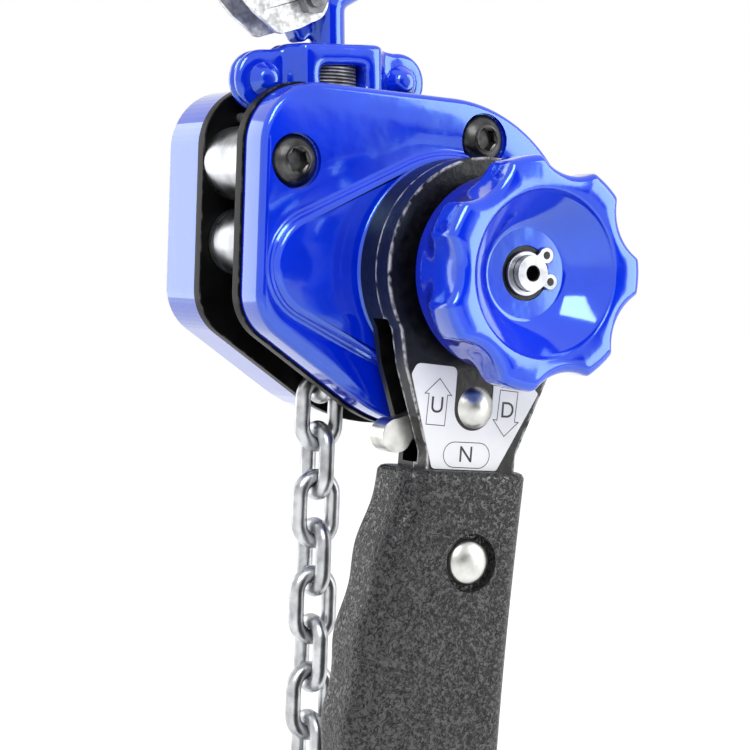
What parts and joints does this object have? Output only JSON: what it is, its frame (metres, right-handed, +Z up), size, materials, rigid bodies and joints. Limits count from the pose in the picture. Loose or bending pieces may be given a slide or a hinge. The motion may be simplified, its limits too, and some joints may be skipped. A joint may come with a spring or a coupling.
{
  "type": "lever chain hoist",
  "caption": "Compact lever chain hoist with swivel hooks, link chain over a geared sheave, ratchet lever with selector, and a lobed handwheel.",
  "frame": {"origin": "centre of the top hook's bowl", "axes": "+Z up along the hanging line, +X towards the hoist's right side seen from the handwheel, +Y towards the gear side, away from the handwheel"},
  "size_m": [0.0938, 0.0986, 0.35],
  "materials": {
    "blue_enamel": "gloss",
    "plate_steel": "gloss",
    "galvanised_steel": "satin",
    "chain_steel": "satin",
    "machined_steel": "satin",
    "spring_steel": "satin",
    "black_steel": "satin",
    "black_enamel": "gloss",
    "bronze": "satin",
    "friction_lining": "matte",
    "grip_rubber": "matte",
    "label": "satin"
  },
  "bodies": {
    "hook_top": {"top_hook": "blue_enamel", "top_hook_collar": "galvanised_steel", "top_latch_screw": "galvanised_steel", "top_latch_spring": "spring_steel"},
    "latch_top": {"top_latch": "galvanised_steel"},
    "yoke_top": {"top_yoke_front": "blue_enamel", "top_yoke_rear": "blue_enamel", "top_yoke_rivets": "blue_enamel"},
    "casing": {"front_plate": "plate_steel", "rear_plate": "plate_steel", "stay_spacers": "machined_steel", "stop_pins": "galvanised_steel", "cover_screws": "black_steel", "cover_nuts": "galvanised_steel", "front_cover": "blue_enamel", "rear_cover": "blue_enamel", "sheave_bushes": "bronze", "suspension_pin": "galvanised_steel", "guide_pins": "galvanised_steel", "chain_stripper": "galvanised_steel", "brake_pawl_stud": "galvanised_steel", "brake_pawl_spring": "spring_steel", "sheave_chain": "chain_steel"},
    "sheave": {"load_sheave": "machined_steel", "load_gear": "machined_steel"},
    "gear_right": {"disc_gear_right": "machined_steel"},
    "gear_left": {"disc_gear_left": "machined_steel"},
    "drive": {"drive_shaft": "machined_steel", "brake_hub": "machined_steel", "friction_discs": "friction_lining", "lever_ratchet_wheel": "machined_steel", "handwheel": "blue_enamel", "circlip": "black_steel"},
    "ratchet": {"ratchet_disc": "machined_steel"},
    "pawl": {"brake_pawl": "machined_steel"},
    "roller_left": {"guide_roller_left": "machined_steel"},
    "roller_right": {"guide_roller_right": "machined_steel"},
    "lever": {"lever_rear_shell": "black_enamel", "lever_front_shell": "black_enamel", "selector_rivet": "galvanised_steel", "detent_spring": "spring_steel", "label_plate": "label", "grip": "grip_rubber", "grip_rivet": "galvanised_steel"},
    "selector": {"selector_pawl": "galvanised_steel"},
    "plunger": {"detent_plunger": "galvanised_steel"},
    "load_strand": {"load_chain": "chain_steel"},
    "free_strand": {"free_chain": "chain_steel"},
    "stop_ring": {"chain_stop_ring": "galvanised_steel"},
    "yoke_bottom": {"bottom_yoke_front": "blue_enamel", "bottom_yoke_rear": "blue_enamel", "bottom_yoke_rivets": "blue_enamel", "chain_pin": "galvanised_steel"},
    "hook_bottom": {"bottom_hook": "blue_enamel", "bottom_hook_collar": "galvanised_steel", "bottom_latch_screw": "galvanised_steel", "bottom_latch_spring": "spring_steel"},
    "latch_bottom": {"bottom_latch": "galvanised_steel"}
  },
  "joints": [
    {"name": "top_latch_open", "type": "hinge", "parent": "hook_top", "child": "latch_top", "pos_m": [-0.00706, 0, -0.0238], "axis": [0, 1, 0], "range_deg": [0, 36], "stiffness_Nm_per_rad": 0.004, "springref_deg": -20.05, "deforming": ["top_latch_spring"]},
    {"name": "top_hook_swivel", "type": "hinge", "parent": "hook_top", "child": "yoke_top", "pos_m": [0, 0, 0], "axis": [-0.0523, 0, 0.9986], "continuous": true},
    {"name": "casing_swing", "type": "hinge", "parent": "yoke_top", "child": "casing", "pos_m": [0.00283, 0, -0.05393], "axis": [0, -1, 0], "range_deg": [0, 6]},
    {"name": "drive_spin", "type": "hinge", "parent": "casing", "child": "drive", "pos_m": [0.02468, 0, -0.08743], "axis": [0, -1, 0], "continuous": true, "deforming": ["sheave_chain"]},
    {"name": "sheave_spin", "type": "hinge", "parent": "casing", "child": "sheave", "pos_m": [0.02468, 0, -0.08743], "axis": [0, -1, 0], "continuous": true, "deforming": ["sheave_chain"]},
    {"name": "disc_gear_right_spin", "type": "hinge", "parent": "casing", "child": "gear_right", "pos_m": [0.04348, 0, -0.08059], "axis": [0, -1, 0], "continuous": true},
    {"name": "disc_gear_left_spin", "type": "hinge", "parent": "casing", "child": "gear_left", "pos_m": [0.00589, 0, -0.09427], "axis": [0, -1, 0], "continuous": true},
    {"name": "ratchet_play", "type": "hinge", "parent": "casing", "child": "ratchet", "pos_m": [0.02468, 0, -0.08743], "axis": [0, -1, 0], "range_deg": [0, 4]},
    {"name": "brake_pawl_lift", "type": "hinge", "parent": "casing", "child": "pawl", "pos_m": [-0.00882, 0, -0.08743], "axis": [0, -1, 0], "range_deg": [0, 14], "stiffness_Nm_per_rad": 0.003, "springref_deg": -17.19, "deforming": ["brake_pawl_spring"]},
    {"name": "guide_left_spin", "type": "hinge", "parent": "casing", "child": "roller_left", "pos_m": [-0.01662, 0, -0.08223], "axis": [0, -1, 0], "continuous": true},
    {"name": "guide_right_spin", "type": "hinge", "parent": "casing", "child": "roller_right", "pos_m": [0.05928, 0, -0.08223], "axis": [0, -1, 0], "continuous": true},
    {"name": "lever_swing", "type": "hinge", "parent": "casing", "child": "lever", "pos_m": [0.02468, 0, -0.08743], "axis": [0, -1, 0], "continuous": true},
    {"name": "selector_throw", "type": "hinge", "parent": "lever", "child": "selector", "pos_m": [0.023, 0, -0.11958], "axis": [0, -1, 0], "range_deg": [-9, 9]},
    {"name": "detent_press", "type": "slide", "parent": "lever", "child": "plunger", "axis": [-0.0523, 0, -0.9986], "range_m": [0, 0.0006], "stiffness_N_per_m": 300, "springref_m": -0.001, "deforming": ["detent_spring"]},
    {"name": "load_strand_swing", "type": "hinge", "parent": "casing", "child": "load_strand", "pos_m": [0.00283, 0, -0.11943], "axis": [0, -1, 0], "range_deg": [-12, 12]},
    {"name": "bottom_yoke_swing", "type": "hinge", "parent": "load_strand", "child": "yoke_bottom", "pos_m": [0.00283, 0, -0.24699], "axis": [0, -1, 0], "range_deg": [-25, 25]},
    {"name": "bottom_hook_swivel", "type": "hinge", "parent": "yoke_bottom", "child": "hook_bottom", "pos_m": [0.00283, 0, -0.30099], "axis": [0, 0, 1], "continuous": true},
    {"name": "bottom_latch_open", "type": "hinge", "parent": "hook_bottom", "child": "latch_bottom", "pos_m": [0.01113, 0, -0.27759], "axis": [0, 1, 0], "range_deg": [0, 36], "stiffness_Nm_per_rad": 0.004, "springref_deg": -20.05, "deforming": ["bottom_latch_spring"]},
    {"name": "free_strand_swing", "type": "hinge", "parent": "casing", "child": "free_strand", "pos_m": [0.04654, 0, -0.11943], "axis": [0, -1, 0], "range_deg": [-12, 12]},
    {"name": "stop_ring_swing", "type": "hinge", "parent": "free_strand", "child": "stop_ring", "pos_m": [0.04654, 0, -0.17514], "axis": [0, -1, 0], "range_deg": [-25, 25]}
  ],
  "couplings": [
    {"joint": "sheave_spin", "follows": "drive_spin", "ratio": 0.20661},
    {"joint": "disc_gear_right_spin", "follows": "drive_spin", "ratio": -0.45454},
    {"joint": "disc_gear_left_spin", "follows": "drive_spin", "ratio": -0.45454}
  ]
}
